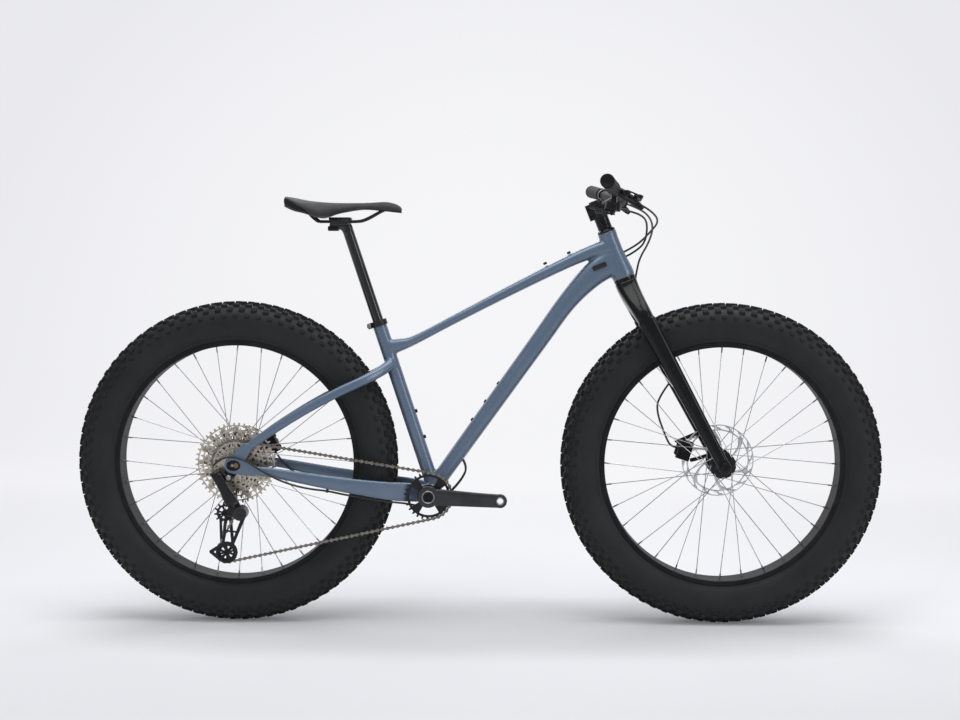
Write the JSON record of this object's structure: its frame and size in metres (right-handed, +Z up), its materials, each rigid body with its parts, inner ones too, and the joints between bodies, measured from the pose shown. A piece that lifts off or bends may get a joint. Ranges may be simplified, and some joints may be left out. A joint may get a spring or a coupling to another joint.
{
  "type": "fat tire bike",
  "caption": "Rigid fat tyre bicycle with a sloping frame, wide knobbly tyres, disc brakes, riser bar and a single-ring derailleur drivetrain.",
  "frame": {"origin": "on the ground, halfway between the two axles, in the middle plane", "axes": "+X forward, +Y to the rider's left, +Z up; the drivetrain is on -Y"},
  "size_m": [1.9818, 0.7958, 1.09],
  "materials": {
    "frame_paint": "satin blue paint on aluminium",
    "fork_composite": "gloss black composite",
    "black_alloy": "satin black anodised",
    "fastener_steel": "dark steel",
    "spoke_steel": "black stainless",
    "rotor_steel": "ground steel",
    "chain_steel": "grey steel",
    "tyre_rubber": "matte black",
    "grip_rubber": "matte black",
    "pad_compound": "matte",
    "black_plastic": "matte black",
    "rail_steel": "black steel",
    "saddle_cover": "matte black cover over foam"
  },
  "bodies": {
    "frame": {"head_tube": "frame_paint", "top_tube": "frame_paint", "down_tube": "frame_paint", "seat_tube": "frame_paint", "bottom_bracket_shell": "frame_paint", "rear_stays": "frame_paint", "dropouts": "frame_paint", "derailleur_hanger": "black_alloy", "seat_collar": "black_alloy", "frame_fittings": "fastener_steel", "bearings": "fastener_steel", "rear_thru_axle": "fastener_steel", "rear_brake_caliper": "black_alloy", "rear_cables": "grip_rubber", "chain": "chain_steel", "derailleur_bracket": "black_alloy"},
    "steering": {"fork": "fork_composite", "headset_stack": "black_alloy", "stem": "black_alloy", "stem_faceplate": "black_alloy", "stem_bolts": "fastener_steel", "handlebar": "black_alloy", "grips": "grip_rubber", "control_mounts": "black_plastic", "front_thru_axle": "fastener_steel", "front_brake_caliper": "black_alloy", "front_brake_hose": "grip_rubber", "control_cables": "grip_rubber"},
    "front_wheel": {"front_tyre": "tyre_rubber", "front_rim": "black_alloy", "front_spokes": "spoke_steel", "front_hub": "black_alloy", "front_rotor": "rotor_steel"},
    "rear_wheel": {"rear_tyre": "tyre_rubber", "rear_rim": "black_alloy", "rear_spokes": "spoke_steel", "rear_hub": "black_alloy", "rear_rotor": "rotor_steel"},
    "cassette": {"cassette": "chain_steel"},
    "crank": {"drive_crank_arm": "black_alloy", "left_crank_arm": "black_alloy", "chainring": "black_alloy"},
    "outer_link": {"outer_link": "black_alloy"},
    "inner_link": {"inner_link": "black_alloy"},
    "cage_knuckle": {"cage_knuckle": "black_alloy"},
    "cage": {"derailleur_cage": "black_alloy"},
    "guide_pulley": {"guide_pulley": "black_plastic"},
    "tension_pulley": {"tension_pulley": "black_plastic"},
    "left_brake_lever": {"left_brake_lever": "black_alloy"},
    "right_brake_lever": {"right_brake_lever": "black_alloy"},
    "thumb_shift_lever": {"thumb_shift_lever": "black_plastic"},
    "release_shift_lever": {"release_shift_lever": "black_plastic"},
    "front_inboard_pad": {"front_inboard_pad": "pad_compound"},
    "front_outboard_pad": {"front_outboard_pad": "pad_compound"},
    "rear_inboard_pad": {"rear_inboard_pad": "pad_compound"},
    "rear_outboard_pad": {"rear_outboard_pad": "pad_compound"},
    "seatpost": {"seatpost": "black_alloy", "saddle_rails": "rail_steel", "saddle_shell": "black_plastic", "saddle_pad": "saddle_cover"}
  },
  "joints": [
    {"name": "steering", "type": "hinge", "parent": "frame", "child": "steering", "pos_m": [0.35395, 0, 0.85241], "axis": [-0.3665, 0, 0.9304], "range_deg": [-60, 60], "deforming": ["control_cables"]},
    {"name": "front_wheel_spin", "type": "hinge", "parent": "steering", "child": "front_wheel", "pos_m": [0.595, 0, 0.396], "axis": [0, 1, 0], "continuous": true},
    {"name": "rear_wheel_spin", "type": "hinge", "parent": "frame", "child": "rear_wheel", "pos_m": [-0.595, 0, 0.396], "axis": [0, 1, 0], "continuous": true},
    {"name": "crank_spin", "type": "hinge", "parent": "frame", "child": "crank", "pos_m": [-0.12223, 0, 0.319], "axis": [0, 1, 0], "continuous": true, "deforming": ["chain"]},
    {"name": "cassette_spin", "type": "hinge", "parent": "frame", "child": "cassette", "pos_m": [-0.595, 0, 0.396], "axis": [0, 1, 0], "continuous": true},
    {"name": "outer_link_swing", "type": "hinge", "parent": "frame", "child": "outer_link", "pos_m": [-0.63251, -0.11713, 0.38051], "axis": [0.6688, 0.6428, 0.3735], "range_deg": [-12, 14], "stiffness_Nm_per_rad": 3},
    {"name": "inner_link_swing", "type": "hinge", "parent": "frame", "child": "inner_link", "pos_m": [-0.64149, -0.10487, 0.37549], "axis": [0.6688, 0.6428, 0.3735], "range_deg": [-12, 14]},
    {"name": "cage_knuckle_swing", "type": "hinge", "parent": "outer_link", "child": "cage_knuckle", "pos_m": [-0.58951, -0.11713, 0.30351], "axis": [0.6688, 0.6428, 0.3735], "range_deg": [-14, 12]},
    {"name": "cage_pivot", "type": "hinge", "parent": "cage_knuckle", "child": "cage", "pos_m": [-0.577, -0.09, 0.28], "axis": [0, -1, 0], "range_deg": [-4, 30], "stiffness_Nm_per_rad": 1.5},
    {"name": "guide_pulley_spin", "type": "hinge", "parent": "cage", "child": "guide_pulley", "pos_m": [-0.62, -0.06645, 0.275], "axis": [0, 1, 0], "continuous": true},
    {"name": "tension_pulley_spin", "type": "hinge", "parent": "cage", "child": "tension_pulley", "pos_m": [-0.616, -0.06645, 0.178], "axis": [0, 1, 0], "continuous": true},
    {"name": "left_brake_lever_pull", "type": "hinge", "parent": "steering", "child": "left_brake_lever", "pos_m": [0.36314, 0.26413, 1.03972], "axis": [0.3987, -0.0171, 0.9169], "range_deg": [0, 20], "stiffness_Nm_per_rad": 1.2},
    {"name": "right_brake_lever_pull", "type": "hinge", "parent": "steering", "child": "right_brake_lever", "pos_m": [0.36314, -0.26413, 1.03972], "axis": [-0.3987, -0.0171, -0.9169], "range_deg": [0, 20], "stiffness_Nm_per_rad": 1.2},
    {"name": "front_inboard_pad_travel", "type": "slide", "parent": "steering", "child": "front_inboard_pad", "axis": [0, 1, 0], "range_m": [0, 0.00035]},
    {"name": "front_outboard_pad_travel", "type": "slide", "parent": "steering", "child": "front_outboard_pad", "axis": [0, -1, 0], "range_m": [0, 0.00035]},
    {"name": "rear_inboard_pad_travel", "type": "slide", "parent": "frame", "child": "rear_inboard_pad", "axis": [0, 1, 0], "range_m": [0, 0.00035]},
    {"name": "rear_outboard_pad_travel", "type": "slide", "parent": "frame", "child": "rear_outboard_pad", "axis": [0, -1, 0], "range_m": [0, 0.00035]},
    {"name": "thumb_shift", "type": "hinge", "parent": "steering", "child": "thumb_shift_lever", "pos_m": [0.31318, -0.19259, 1.01198], "axis": [-0.1676, -0.0595, -0.9841], "range_deg": [0, 22], "stiffness_Nm_per_rad": 0.4},
    {"name": "release_shift", "type": "hinge", "parent": "steering", "child": "release_shift_lever", "pos_m": [0.31318, -0.19259, 1.01198], "axis": [-0.1676, -0.0595, -0.9841], "range_deg": [-12, 0], "stiffness_Nm_per_rad": 0.4},
    {"name": "seatpost_height", "type": "slide", "parent": "frame", "child": "seatpost", "axis": [-0.3173, 0, 0.9483], "range_m": [-0.15, 0.02]}
  ],
  "couplings": [
    {"joint": "cassette_spin", "follows": "crank_spin", "ratio": 1},
    {"joint": "guide_pulley_spin", "follows": "crank_spin", "ratio": -2.3333},
    {"joint": "tension_pulley_spin", "follows": "crank_spin", "ratio": 2.3333},
    {"joint": "inner_link_swing", "follows": "outer_link_swing", "ratio": 1},
    {"joint": "cage_knuckle_swing", "follows": "outer_link_swing", "ratio": -1},
    {"joint": "front_inboard_pad_travel", "follows": "left_brake_lever_pull", "m_per_rad": 0.001},
    {"joint": "front_outboard_pad_travel", "follows": "left_brake_lever_pull", "m_per_rad": 0.001},
    {"joint": "rear_inboard_pad_travel", "follows": "right_brake_lever_pull", "m_per_rad": 0.001},
    {"joint": "rear_outboard_pad_travel", "follows": "right_brake_lever_pull", "m_per_rad": 0.001}
  ]
}
